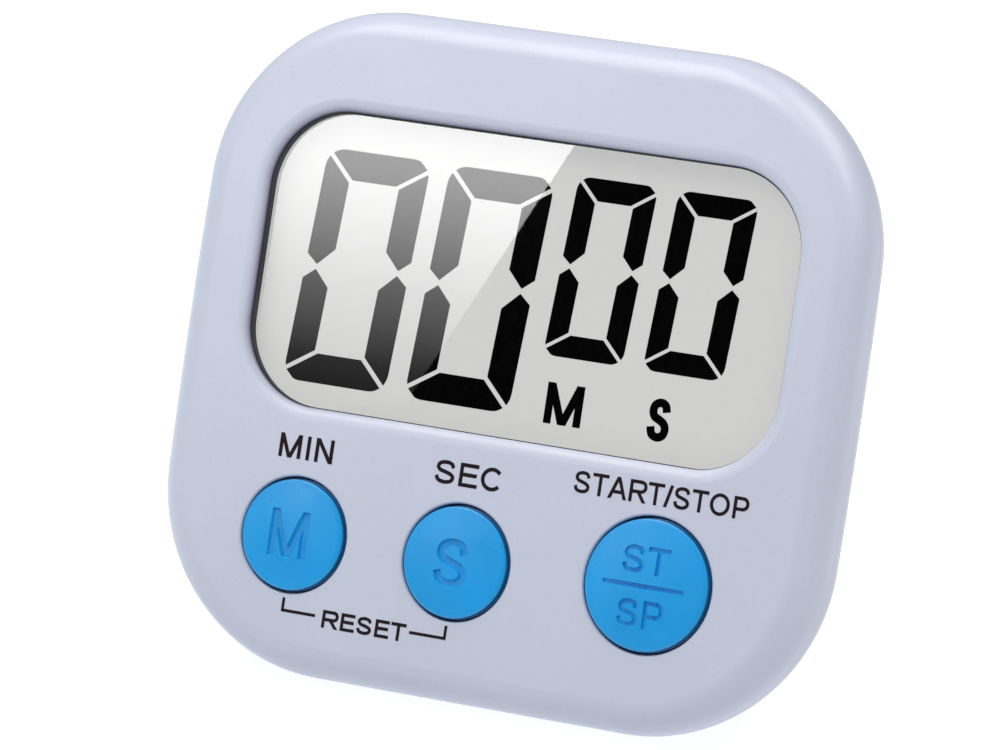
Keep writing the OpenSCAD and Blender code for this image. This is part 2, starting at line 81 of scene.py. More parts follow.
# From the face frame to the row frame, in millimetres and then in metres
BASE_UP = CASE_H / 2 * math.cos(LEAN) - WIDEST_Z * math.sin(LEAN)
BASE_BACK = -7.6640
FACE = Matrix((
    (1, 0, 0, 0),
    (0, math.sin(LEAN), -math.cos(LEAN), BASE_BACK),
    (0, math.cos(LEAN), math.sin(LEAN), BASE_UP),
    (0, 0, 0, 1),
))
TO_ROW = Matrix.Scale(0.001, 4) @ FACE
OUT_OF_FACE = FACE.to_3x3() @ Vector((0, 0, 1))
UP_FACE = FACE.to_3x3() @ Vector((0, 1, 0))
FACE_LEVEL = 0.001 * (FACE @ Vector((0, 0, 0))).dot(OUT_OF_FACE)
SCENE = bpy.context.scene


# ---- Mesh helpers ----

def linked(name, data):
    obj = bpy.data.objects.new(name, data)
    SCENE.collection.objects.link(obj)
    return obj


def solid(name, verts, faces):
    mesh = bpy.data.meshes.new(name)
    mesh.from_pydata(verts, [], faces)
    bm = bmesh.new()
    bm.from_mesh(mesh)
    bmesh.ops.remove_doubles(bm, verts=bm.verts, dist=1e-5)
    bmesh.ops.recalc_face_normals(bm, faces=bm.faces)
    bm.to_mesh(mesh)
    bm.free()
    return linked(name, mesh)


def loft(name, rings):
    """Closed skin through rings of equal length, with flat ends."""
    n = len(rings[0])
    faces = [tuple(range(n)), tuple((len(rings) - 1) * n + k for k in range(n))]
    for i in range(len(rings) - 1):
        for j in range(n):
            k = (j + 1) % n
            faces.append((i * n + j, i * n + k, (i + 1) * n + k, (i + 1) * n + j))
    return solid(name, [p for ring in rings for p in ring], faces)


def at_level(ring, z):
    return [(x, y, z) for x, y in ring]


def slab(ring, z_front, z_back):
    return loft("tool", [at_level(ring, z_front), at_level(ring, z_back)])


def block(low, high):
    (x0, y0, z0), (x1, y1, z1) = low, high
    return slab([(x0, y0), (x1, y0), (x1, y1), (x0, y1)], z1, z0)


def spaced(start, end, steps):
    return [start + (end - start) * k / steps for k in range(steps + 1)]


def turns(start, end, steps):
    """Evenly spaced angles, given in degrees."""
    return [math.radians(a) for a in spaced(start, end, steps)]


def circle(at, r, steps=64):
    turn = [2 * math.pi * k / steps for k in range(steps)]
    return [(at[0] + r * math.cos(t), at[1] + r * math.sin(t)) for t in turn]


def post(at, r, z_front, z_back, steps=64):
    return slab(circle(at, r, steps), z_front, z_back)


def rod(x0, x1, y, z, r, steps=48):
    """Round bar along x."""
    ring = circle((y, z), r, steps)
    return loft("tool", [[(x, a, b) for a, b in ring] for x in (x0, x1)])


QUADRANTS = [(1, 1), (-1, 1), (-1, -1), (1, -1)]


def rounded(w, h, r, at=(0, 0), steps=14):
    ring = []
    for q, (sx, sy) in enumerate(QUADRANTS):
        for k in range(steps + 1):
            t = math.pi / 2 * (q + k / steps)
            ring.append((at[0] + sx * (w / 2 - r) + r * math.cos(t),
                         at[1] + sy * (h / 2 - r) + r * math.sin(t)))
    return ring


def grown(w, h, r, at=(0, 0), steps=14):
    """Rounded ring that can be made larger all round."""
    return lambda d: rounded(w + 2 * d, h + 2 * d, r + d, at, steps)


def quarter_round(edge, steps):
    """(inset, depth) pairs from the side to the flat."""
    return [(edge * (1 - math.cos(t)), edge * (1 - math.sin(t))) for t in turns(0, 90, steps)]


def mouth(grow, z_face, z_end, fillet, depth=None, steps=7, start=85):
    """Cutter with a rounded mouth at z_face; grow(d) gives its ring, d larger all round."""
    out = 1 if z_face > z_end else -1
    depth = depth or fillet
    widest = math.radians(start)
    rings = [at_level(grow(fillet * (1 - math.cos(widest))), z_face + out)]
    for k in range(steps + 1):
        t = widest * (1 - k / steps)
        rings.append(at_level(grow(fillet * (1 - math.cos(t))),
                              z_face - out * depth * (1 - math.sin(t))))
    rings.append(at_level(grow(0), z_end))
    return loft("tool", rings)


def round_mouth(at, r, z_face, z_end, fillet):
    return mouth(lambda d: circle(at, r + d), z_face, z_end, fillet)


def lathe(name, profile, at=(0, 0), steps=128):
    """Solid of revolution about z from (radius, z) pairs that start and end on the axis."""
    verts = [(at[0], at[1], profile[0][1]), (at[0], at[1], profile[-1][1])]
    faces = []
    for r, z in profile[1:-1]:
        verts += [(x, y, z) for x, y in circle(at, r, steps)]
    rows = len(profile) - 2
    for j in range(steps):
        k = (j + 1) % steps
        faces.append((0, 2 + j, 2 + k))
        faces.append((1, 2 + (rows - 1) * steps + k, 2 + (rows - 1) * steps + j))
        for i in range(rows - 1):
            a, b = 2 + i * steps, 2 + (i + 1) * steps
            faces.append((a + j, b + j, b + k, a + k))
    return solid(name, verts, faces)


def arc(cx, cz, rx, rz, start, end, steps):
    """(radius, z) points along an elliptical arc, in degrees."""
    return [(cx + rx * math.cos(t), cz + rz * math.sin(t)) for t in turns(start, end, steps)]


def merged(objects):
    bm = bmesh.new()
    for o in objects:
        bm.from_mesh(o.data)
        bpy.data.objects.remove(o)
    mesh = bpy.data.meshes.new("tool")
    bm.to_mesh(mesh)
    bm.free()
    return linked("tool", mesh)


def apply_modifiers(obj):
    graph = bpy.context.evaluated_depsgraph_get()
    mesh = bpy.data.meshes.new_from_object(obj.evaluated_get(graph))
    obj.modifiers.clear()
    obj.data = mesh


def combine(target, tools, operation="DIFFERENCE", overlapping=False):
    tool = merged(tools)
    mod = target.modifiers.new("combine", "BOOLEAN")
    mod.operation = operation
    mod.solver = "EXACT"
    mod.use_self = overlapping
    mod.object = tool
    apply_modifiers(target)
    bpy.data.objects.remove(tool)


def soften(obj, width):
    mod = obj.modifiers.new("soften", "BEVEL")
    mod.width = width
    mod.segments = 2
    mod.limit_method = "ANGLE"
    mod.angle_limit = math.radians(40)
    apply_modifiers(obj)


def shade(obj, sharp_angle):
    """Smooth shading with flat parts kept flat."""
    bm = bmesh.new()
    bm.from_mesh(obj.data)
    bmesh.ops.remove_doubles(bm, verts=bm.verts, dist=1e-4)
    bmesh.ops.dissolve_degenerate(bm, edges=bm.edges, dist=1e-4)
    bm.to_mesh(obj.data)
    bm.free()
    for polygon in obj.data.polygons:
        polygon.use_smooth = True
    obj.data.set_sharp_from_angle(angle=sharp_angle)
    mod = obj.modifiers.new("normals", "WEIGHTED_NORMAL")
    mod.keep_sharp = True
    apply_modifiers(obj)


def piece(obj, name, body, slot, material, *nodes, in_face=True, sharp=32):
    """Puts a finished mesh into the row frame as a named piece."""
    obj.name = obj.data.name = name
    shade(obj, math.radians(sharp))
    obj.data.materials.clear()
    obj.data.materials.append(material)
    if in_face:
        obj.data.transform(TO_ROW)
    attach(obj, body)
    if nodes:
        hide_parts(*nodes)


def outline(inset, steps=32):
    """Ring around the case, moved inwards, with the sides' slight bow."""
    a, b, r = CASE_W / 2 - inset, CASE_H / 2 - inset, CORNER_R - inset
    straight = 8
    ring = []
    for q, (sx, sy) in enumerate(QUADRANTS):
        if q in (0, 2):
            ring += [(sx * a, sx * (b - r) * (2 * k / straight - 1)) for k in range(straight)]
        for k in range(steps + 1):
            t = math.pi / 2 * (q + k / steps)
            ring.append((sx * (a - r) + r * math.cos(t), sy * (b - r) + r * math.sin(t)))
    return [(x - math.copysign(SIDE_BOW * (2 * y / CASE_H) ** 2, x), y) for x, y in ring]


def case_profile():
    """(inset, z) pairs from the front face to the back face, with a softened ridge."""
    tangent_z = BACK_Z + BACK_R - BACK_R * math.sin(LEAN)
    back_inset = (WIDEST_Z - tangent_z) * math.tan(LEAN) + BACK_R * math.cos(LEAN)
    front = [(FRONT_DRAFT + FRONT_R * (1 - math.sin(t)), -FRONT_R * (1 - math.cos(t)))
             for t in turns(0, 90, 10)]
    before = math.atan2(FRONT_DRAFT, -WIDEST_Z - FRONT_R)
    reach = RIDGE_R * math.tan((before + LEAN) / 2)
    cx = reach * math.sin(before) + RIDGE_R * math.cos(before)
    cz = WIDEST_Z + reach * math.cos(before) - RIDGE_R * math.sin(before)
    ridge = [(cx - RIDGE_R * math.cos(t), cz - RIDGE_R * math.sin(t))
             for t in spaced(-before, LEAN, 6)]
    back = [(back_inset - BACK_R * math.cos(t), BACK_Z + BACK_R - BACK_R * math.sin(t))
            for t in spaced(LEAN, math.pi / 2, 8)]
    return front + ridge + back


PROFILE = case_profile()


def case_body():
    return loft("case", [at_level(outline(inset), z) for inset, z in PROFILE])


def half_body(front):
    """One half of the case body, with a small bevel at the parting line."""
    bevel = 0.12
    slope = math.tan(LEAN)
    at_split = (WIDEST_Z - SPLIT_Z) * slope
    if front:
        ends = [(at_split - bevel * slope, SPLIT_Z + bevel), (at_split + bevel, SPLIT_Z)]
        levels = [p for p in PROFILE if p[1] > SPLIT_Z + bevel] + ends
    else:
        ends = [(at_split + bevel, SPLIT_Z), (at_split + bevel * slope, SPLIT_Z - bevel)]
        levels = ends + [p for p in PROFILE if p[1] < SPLIT_Z - bevel]
    return loft("case", [at_level(outline(inset), z) for inset, z in levels])


def case_cavity():
    squeeze = (CASE_T - 2 * WALL) / CASE_T
    return loft("cavity", [at_level(outline(inset + WALL, 16), z * squeeze - WALL)
                           for inset, z in PROFILE[::2] + PROFILE[-1:]])


# ---- Material helpers ----

class Nodes:
    """Short ways to build one procedural material."""

    def __init__(self, mat):
        """Takes a material made earlier, or the name of a new one."""
        self.mat = bpy.data.materials.new(mat) if isinstance(mat, str) else mat
        self.mat.use_nodes = True
        self.tree = self.mat.node_tree
        self.bsdf = self.tree.nodes["Principled BSDF"]
        self.out = self.tree.nodes["Material Output"]
        self.coords = self.add("ShaderNodeTexCoord").outputs["Object"]

    def add(self, kind, **values):
        node = self.tree.nodes.new(kind)
        for key, value in values.items():
            setattr(node, key, value)
        return node

    def link(self, a, b):
        self.tree.links.new(a, b)

    def noise(self, scale, detail=3, stretch=None):
        node = self.add("ShaderNodeTexNoise")
        node.inputs["Scale"].default_value = scale
        node.inputs["Detail"].default_value = detail
        vector = self.coords
        if stretch:
            mapping = self.add("ShaderNodeMapping")
            mapping.inputs["Scale"].default_value = stretch
            self.link(vector, mapping.inputs["Vector"])
            vector = mapping.outputs["Vector"]
        self.link(vector, node.inputs["Vector"])
        return node.outputs["Fac"]

    def ramp(self, fac, stops):
        node = self.add("ShaderNodeValToRGB")
        elements = node.color_ramp.elements
        while len(elements) < len(stops):
            elements.new(0.5)
        for element, (place, colour) in zip(elements, stops):
            element.position = place
            element.color = (*colour, 1)
        self.link(fac, node.inputs["Fac"])
        return node.outputs["Color"]

    def span(self, fac, low, high, from_low=0.0, from_high=1.0):
        node = self.add("ShaderNodeMapRange")
        for key, value in (("From Min", from_low), ("From Max", from_high),
                           ("To Min", low), ("To Max", high)):
            node.inputs[key].default_value = value
        self.link(fac, node.inputs["Value"])
        return node.outputs["Result"]

    def mix(self, fac, a, b, blend="MIX"):
        node = self.add("ShaderNodeMix", data_type="RGBA", blend_type=blend)
        sockets = {s.identifier: s for s in node.inputs}
        for key, value in (("Factor_Float", fac), ("A_Color", a), ("B_Color", b)):
            if isinstance(value, (int, float)):
                sockets[key].default_value = value
            elif isinstance(value, tuple):
                sockets[key].default_value = (*value, 1)
            else:
                self.link(value, sockets[key])
        return [s for s in node.outputs if s.identifier == "Result_Color"][0]

    def along(self, direction, low, high):
        """0 to 1 between two distances along a direction of the row frame, in metres."""
        node = self.add("ShaderNodeVectorMath", operation="DOT_PRODUCT")
        self.link(self.coords, node.inputs[0])
        node.inputs[1].default_value = tuple(direction)
        return self.span(node.outputs["Value"], 0, 1, low, high)

    def mottled(self, fac, colour, low, high):
        return self.ramp(fac, [(0.3, tint(colour, low)), (0.7, tint(colour, high))])

    def base(self, colour):
        self.link(colour, self.bsdf.inputs["Base Color"])

    def rough(self, *span):
        self.link(self.span(*span), self.bsdf.inputs["Roughness"])

    def bump(self, layers):
        """Bump from (height, strength, distance) layers."""
        normal = None
        for height, strength, distance in layers:
            node = self.add("ShaderNodeBump")
            node.inputs["Strength"].default_value = strength
            node.inputs["Distance"].default_value = distance
            self.link(height, node.inputs["Height"])
            if normal:
                self.link(normal, node.inputs["Normal"])
            normal = node.outputs["Normal"]
        self.link(normal, self.bsdf.inputs["Normal"])

    def set(self, **values):
        for key, value in values.items():
            self.bsdf.inputs[key.replace("_", " ")].default_value = value


def grey(level):
    return (level, level, level)


def tint(colour, amount):
    return tuple(min(1.0, c * amount) for c in colour)


def moulded(name, colour, rough, spread, grain, coat=0.0, shine=0.5):
    """Moulded plastic: faint mottling, fine orange peel, small scuffs in the gloss."""
    n = Nodes(name)
    broad = n.noise(45, 4)
    fine = n.noise(900, 3)
    specks = n.ramp(n.noise(2600, 2), [(0.30, grey(0.90)), (0.42, grey(1))])
    n.base(n.mix(0.35, n.mottled(broad, colour, 1 - spread, 1 + spread), specks, "MULTIPLY"))
    n.rough(n.noise(160, 6, (1, 3, 1)), *rough, 0.35, 0.7)
    n.bump([(n.noise(220, 3), grain, 0.00006), (fine, grain * 0.8, 0.00002)])
    n.set(IOR=1.5, Coat_Weight=coat, Coat_Roughness=0.2, Specular_IOR_Level=shine)
    return n.mat


def shaded_lip_plastic():
    """Case plastic with painted shade: darker down the upper left inside of the window opening, the
    side turned away from the lamps.
    """
    n = Nodes(moulded("case_lip", CASE_COLOUR, (0.28, 0.38), 0.02, 0.10))
    # Painted shade: darker the deeper the surface lies below the face
    depth = n.along(OUT_OF_FACE, FACE_LEVEL - 0.00088, FACE_LEVEL - 0.00010)
    shaded = n.ramp(depth, [(0.0, (0.10, 0.08, 0.10)), (0.4, (0.46, 0.43, 0.50)), (1.0, grey(1))])
    # The painted shade fades out towards the lower right of the opening
    diagonal = FACE.to_3x3() @ Vector((-0.7, 0.71, 0))
    middle = 0.001 * FACE.translation.dot(diagonal)
    shaded = n.mix(n.along(diagonal, middle + 0.002, middle + 0.022), grey(1), shaded)
    plain = n.bsdf.inputs["Base Color"].links[0].from_socket
    n.base(n.mix(1.0, plain, shaded, "MULTIPLY"))
    return n.mat


def metal(name, colour, rough, scale=300):
    n = Nodes(name)
    grain = n.noise(scale, 5)
    n.base(n.mottled(grain, colour, 0.82, 1))
    n.rough(grain, *rough, 0.3, 0.7)
    n.bump([(grain, 0.15, 0.00003)])
    n.set(Metallic=1.0)
    return n.mat


def button_plastic():
    """Sky blue plastic with painted shade: darker down the side of the cap where it goes into the case.
    """
    n = Nodes("button_blue_painted_shade")
    blue = (0.004, 0.347, 0.79)
    # Painted shade: darker down the cap's side below its top, towards the gap round it
    depth = n.along(OUT_OF_FACE, FACE_LEVEL - 0.0004, FACE_LEVEL + 0.00044)
    shaded = n.ramp(depth, [(0.0, (0.6, 0.36, 0.42)), (0.72, (0.86, 0.86, 0.88)), (1.0, grey(1))])
    n.base(n.mix(1.0, n.mottled(n.noise(120, 4), blue, 0.93, 1.06), shaded, "MULTIPLY"))
    n.rough(n.noise(400, 5), 0.26, 0.36, 0.3, 0.7)
    n.bump([(n.noise(350, 3), 0.2, 0.00005), (n.noise(1500, 2), 0.15, 0.00002)])
    n.set(IOR=1.47)
    return n.mat


def clear_window():
    """Clear sheet: mirrors a little at its outer face and lets the rest through."""
    n = Nodes("clear_window")
    n.tree.nodes.remove(n.bsdf)
    clear = n.add("ShaderNodeBsdfTransparent")
    dust = n.ramp(n.noise(700, 6), [(0.5, (0.992, 0.992, 0.99)), (0.8, (0.98, 0.98, 0.98))])
    n.link(dust, clear.inputs["Color"])
    gloss = n.add("ShaderNodeBsdfGlossy")
    n.link(n.span(n.noise(90, 5), 0.006, 0.016, 0.3, 0.8), gloss.inputs["Roughness"])
    fresnel = n.add("ShaderNodeFresnel")
    fresnel.inputs["IOR"].default_value = 1.49
    side = n.add("ShaderNodeNewGeometry")
    front = n.add("ShaderNodeMath", operation="SUBTRACT")
    front.inputs[0].default_value = 1.0
    n.link(side.outputs["Backfacing"], front.inputs[1])
    share = n.add("ShaderNodeMath", operation="MULTIPLY")
    n.link(fresnel.outputs["Fac"], share.inputs[0])
    n.link(front.outputs["Value"], share.inputs[1])
    mixer = n.add("ShaderNodeMixShader")
    n.link(share.outputs["Value"], mixer.inputs["Fac"])
    n.link(clear.outputs["BSDF"], mixer.inputs[1])
    n.link(gloss.outputs["BSDF"], mixer.inputs[2])
    n.link(mixer.outputs["Shader"], n.out.inputs["Surface"])
    return n.mat


def film(name, colour):
    """Nearly clear film or glass inside the display."""
    n = Nodes(name)
    n.tree.nodes.remove(n.bsdf)
    clear = n.add("ShaderNodeBsdfTransparent")
    n.link(n.mottled(n.noise(1500, 3), colour, 1, 1.01), clear.inputs["Color"])
    n.link(clear.outputs["BSDF"], n.out.inputs["Surface"])
    return n.mat


def display_film():
    """Grey film with a very fine grain; it glows with painted light, an emission that keeps it evenly
    bright.
    """
    n = Nodes("display_grey_painted_glow")
    grain = n.noise(3000, 3)
    n.base(n.mottled(grain, (0.22, 0.22, 0.217), 0.992, 1.008))
    n.rough(grain, 0.5, 0.65)
    n.bump([(grain, 0.03, 0.00001)])
    # Painted light: the emission makes the film glow evenly, though it is no lamp
    n.set(Specular_IOR_Level=0.1, Emission_Color=(0.62, 0.62, 0.617, 1), Emission_Strength=0.76)
    return n.mat


def segment_black():
    n = Nodes("segment_black")
    n.base(n.mottled(n.noise(1800, 3), grey(0.002), 0.5, 1.5))
    n.rough(n.noise(900, 3), 0.6, 0.8)
    n.set(Specular_IOR_Level=0.0)
    return n.mat


def laminate():
    """Green solder mask with the darker pattern of copper tracks under it."""
    n = Nodes("board_mask")
    brick = n.add("ShaderNodeTexBrick")
    for key, value in (("Scale", 90.0), ("Mortar Size", 0.03), ("Brick Width", 1.4),
                       ("Row Height", 0.25)):
        brick.inputs[key].default_value = value
    brick.inputs["Color1"].default_value = (0.012, 0.13, 0.05, 1)
    brick.inputs["Color2"].default_value = (0.010, 0.11, 0.042, 1)
    brick.inputs["Mortar"].default_value = (0.03, 0.22, 0.09, 1)
    n.link(n.coords, brick.inputs["Vector"])
    n.base(n.mix(n.noise(300, 4), brick.outputs["Color"], (0.014, 0.15, 0.06)))
    n.rough(n.noise(500, 3), 0.25, 0.4)
    n.bump([(brick.outputs["Fac"], 0.3, 0.00004)])
    return n.mat


def cell_wrap():
    """Shrink sleeve of the cell: dark with a copper band at the positive end."""
    n = Nodes("cell_wrap")
    place = n.along((1, 0, 0), -0.020, 0.026)
    colour = n.ramp(place, [(0.0, (0.03, 0.03, 0.035)), (0.72, (0.035, 0.035, 0.04)),
                            (0.725, (0.62, 0.30, 0.09)), (1.0, (0.66, 0.33, 0.10))])
    n.base(n.mix(n.span(n.noise(200, 5), 0, 0.25), colour, (0.25, 0.22, 0.2)))
    n.rough(n.noise(120, 5), 0.22, 0.38)
    n.bump([(n.noise(90, 4), 0.25, 0.00006)])
    n.set(Metallic=0.35)
    return n.mat


CASE_COLOUR = (0.582, 0.625, 0.735)
MAT = {
    "case": moulded("case_plastic", CASE_COLOUR, (0.28, 0.38), 0.02, 0.10, 0.12),
    "lip": shaded_lip_plastic(),
    "button": button_plastic(),
    "window": clear_window(),
    "glass": film("display_glass", (0.99, 0.995, 0.99)),
    "display": display_film(),
    "reflector": metal("reflector_film", (0.62, 0.62, 0.60), (0.4, 0.6), 900),
    "segment": segment_black(),
    "ink": moulded("print_ink", (0.013, 0.006, 0.008), (0.5, 0.7), 0.15, 0.2, 0, 0.12),
    # Dark material of the ring of painted shade inside the window opening
    "shade_ring": moulded("dark_painted_shade_ring", (0.012, 0.013, 0.022), (0.45, 0.65), 0.2, 0.3),
    "frame": moulded("frame_plastic", (0.72, 0.72, 0.70), (0.35, 0.5), 0.03, 0.25),
    "rubber": moulded("connector_rubber", (0.05, 0.04, 0.05), (0.6, 0.8), 0.2, 0.5),
    "board": laminate(),
    "resin": moulded("black_resin", (0.012, 0.012, 0.013), (0.15, 0.35), 0.2, 0.6),
    "switch": moulded("switch_plastic", (0.03, 0.03, 0.035), (0.35, 0.55), 0.15, 0.4),
    "chip": moulded("chip_ceramic", (0.30, 0.22, 0.15), (0.35, 0.6), 0.15, 0.5),
    "steel": metal("plated_steel", (0.66, 0.65, 0.63), (0.22, 0.42)),
    "nickel": metal("nickel", (0.72, 0.69, 0.64), (0.15, 0.3)),
    "brass": metal("buzzer_brass", (0.75, 0.52, 0.22), (0.25, 0.42)),
    "piezo": moulded("piezo_ceramic", (0.78, 0.76, 0.70), (0.4, 0.6), 0.06, 0.3),
    "cell": cell_wrap(),
    "red": moulded("red_insulation", (0.55, 0.02, 0.015), (0.35, 0.5), 0.12, 0.4),
    "black": moulded("black_insulation", (0.015, 0.015, 0.016), (0.35, 0.5), 0.2, 0.4),
}


# ---- Case ----

def front_case():
    shell = half_body(True)
    combine(shell, [case_cavity()])
    bosses = [post(b, b[2] + COLLAR_WALL, -WALL / 2, COLLAR_Z) for b in BUTTONS.values()]
    bosses += [post(at, BOARD_POST_R, -WALL / 2, BOARD_FRONT) for at in BOARD_POSTS]
    bosses += [post(at, CASE_POST_R, -WALL / 2, SPLIT_Z) for at in CASE_POSTS]
    combine(shell, bosses, "UNION", True)
    holes = [mouth(grown(WINDOW_W, WINDOW_H, WINDOW_R, WINDOW_AT, 24), 0, -WALL - 1,
                   LIP_W, LIP_DEPTH, 18, 88)]
    holes += [round_mouth(b, b[2], 0, COLLAR_Z - 1, 0.3) for b in BUTTONS.values()]
    holes += [post(at, BOARD_PILOT_R, BOARD_FRONT + BOARD_PILOT_DEPTH, BOARD_FRONT - 1, 24)
              for at in BOARD_POSTS]
    holes += [post(at, CASE_PILOT_R, SPLIT_Z + CASE_PILOT_DEPTH, SPLIT_Z - 1, 24)
              for at in CASE_POSTS]
    combine(shell, holes)
    piece(shell, "front_shell", "case", "case_plastic", MAT["case"], "front_case")
    # The rounded lip of the window has its own material, with painted shade on its upper left inside
    shell.data.materials.append(MAT["lip"])
    to_face = TO_ROW.inverted()
    half_w, half_h = WINDOW_W / 2 + LIP_W + 0.1, WINDOW_H / 2 + LIP_W + 0.1
    for polygon in shell.data.polygons:
        at = to_face @ polygon.center
        inside = abs(at.x - WINDOW_AT[0]) < half_w and abs(at.y - WINDOW_AT[1]) < half_h
        if inside and -WALL + 0.01 < at.z < -0.0005:
            polygon.material_index = 1


def back_case():
    shell = half_body(False)
    combine(shell, [case_cavity()])
    lip_out = (WIDEST_Z - SPLIT_Z) * math.tan(LEAN) + WALL + 0.08
    lip = slab(outline(lip_out), SPLIT_Z + 1.2, SPLIT_Z - 2)
    combine(lip, [slab(outline(lip_out + 0.85), SPLIT_Z + 2, SPLIT_Z - 3)])
    half = STAND_W / 2
    inner = [
        block((-BAY_X - BAY_WALL, CELL_Y - BAY_H / 2 - BAY_WALL, BACK_Z + 1),
              (BAY_X + BAY_WALL, CELL_Y + BAY_H / 2 + BAY_WALL, BAY_FRONT + 0.9)),
        block((-29, CELL_Y - 9, BACK_Z + 1), (29, CELL_Y + 9, BACK_Z + 2.4)),
        block((-half - 1.6, RECESS_END - 1.1, BACK_Z + 1),
              (half + 1.6, HINGE_Y + 4.2, RECESS_FLOOR + 1.2)),
        block((-half - 1.6, HINGE_Y - 3.6, BACK_Z + 1.05),
              (half + 1.6, HINGE_Y + 4.15, TROUGH_FLOOR + 1)),
    ]
    for side in (-1, 1):
        inner.append(block((side * (half + 2) - 1.7, HINGE_Y - 3, BACK_Z + 1.1),
                           (side * (half + 2) + 1.7, HINGE_Y + 3, HINGE_Z + 2.8)))
    inner += [post(at, 3, SPLIT_Z - 0.05, BACK_Z + 1.15, 48) for at in CASE_POSTS]
    inner += [post(at, MAGNET_R + 1.1, BACK_Z + MAGNET_T + 0.8, BACK_Z + 1.2) for at in MAGNETS]
    blocks = inner[0]
    combine(blocks, inner[1:], "UNION", True)
    combine(blocks, [case_body()], "INTERSECT")
    combine(shell, [lip], "UNION")
    combine(shell, [blocks], "UNION")

    half += 0.3
    hinge_end = HINGE_Y + 3
    recess = mouth(grown(2 * half, hinge_end - RECESS_END, 1.2, (0, (hinge_end + RECESS_END) / 2), 8),
                   BACK_Z, RECESS_FLOOR, 0.5)
    notch = mouth(grown(12, 7, 2.4, (0, RECESS_END - 2.5), 8), BACK_Z, RECESS_FLOOR - 0.3, 0.5)
    trough = block((-half, HINGE_Y - 2.6, BACK_Z + 1), (half, hinge_end, TROUGH_FLOOR))
    pins = rod(-STAND_W / 2 - 1.9, STAND_W / 2 + 1.9, HINGE_Y, HINGE_Z, PEG_R + 0.05)
    seat = mouth(grown(DOOR_W + 0.4, DOOR_H + 0.4, 1.7, (0, CELL_Y), 10),
                 BACK_Z, BACK_Z + DOOR_T + 0.05, 0.35)
    bay = block((-BAY_X, CELL_Y - BAY_H / 2, BACK_Z + 0.2),
                (BAY_X, CELL_Y + BAY_H / 2, BAY_FRONT))
    for tool in (recess, notch, trough, pins, seat, bay):
        combine(shell, [tool])
    # Slots for the door's hooks, and for the tabs of the two contacts
    cuts = [block((-29.3, CELL_Y + dy - 1.8, BACK_Z + 0.85),
                  (-26.6, CELL_Y + dy + 1.8, BACK_Z + 2.6)) for dy in HOOK_STEPS]
    for wall in (-BAY_X - 0.9, BAY_X + 0.9):
        cuts.append(block((wall - 1.2, 13.5, -13.1), (wall + 1.2, 16.5, -11.9)))
    combine(shell, cuts)
    # Hollow for a fingertip at the end of the door
    tip_r, tip_floor = 3.4, BACK_Z + 0.6
    hollow = [(0, tip_floor)] + arc(0, tip_floor - tip_r, tip_r, tip_r, 80, 28, 6)
    hollow += [(tip_r, BACK_Z - 1), (0, BACK_Z - 1)]
    combine(shell, [lathe("tool", hollow, (29.6, CELL_Y), 48)])
    combine(shell, [post(at, 1.1, SPLIT_Z + 1, BACK_Z + 1, 24) for at in CASE_POSTS])
    through = BACK_Z + WALL + 1
    holes = [round_mouth(at, 2.1, BACK_Z, SCREW_SEAT, 0.35) for at in CASE_POSTS]
    holes += [round_mouth(at, MAGNET_R + 0.05, BACK_Z, BACK_Z + MAGNET_T + 0.1, 0.2) for at in MAGNETS]
    holes += [round_mouth((0, HANG_Y), HANG_R, BACK_Z, through, 0.4)]
    holes += [round_mouth(at, 0.6, BACK_Z, through, 0.15)
              for at in [BUZZER_AT] + circle(BUZZER_AT, 2.4, 6)]
    combine(shell, holes)
    piece(shell, "back_shell", "case", "case_plastic", MAT["case"], "back_case")


# ---- Window, display and print ----

def window():
    grow = grown(WINDOW_W + 2.8, WINDOW_H + 2.4, 7, WINDOW_AT, 16)
    sheet = loft("window", [at_level(grow(d), -WALL - depth)
                            for d, depth in ((-0.12, 0), (0, 0.12), (0, 0.88), (-0.12, 1))])
    piece(sheet, "window_sheet", "case", "clear_lens", MAT["window"], "window_lens")
    # Dark ring round the inside of the window opening: painted shade, standing for the shade in the
    # recess
    ring = slab(rounded(WINDOW_W - 0.02, WINDOW_H - 0.02, WINDOW_R - 0.01, WINDOW_AT, 24),
                0.06 - LIP_DEPTH, -WALL - 0.005)
    # The ring is wider at the left and top, the side away from the lamps
    thin, right, low = 0.15, 0.11, 0.07
    combine(ring, [slab(rounded(WINDOW_W - 2 * thin, WINDOW_H - 2 * thin, WINDOW_R - thin,
                                (WINDOW_AT[0] + right, WINDOW_AT[1] - low), 24), 1, -4)])
    piece(ring, "window_painted_shade_ring", "case", "connector_rubber", MAT["shade_ring"])


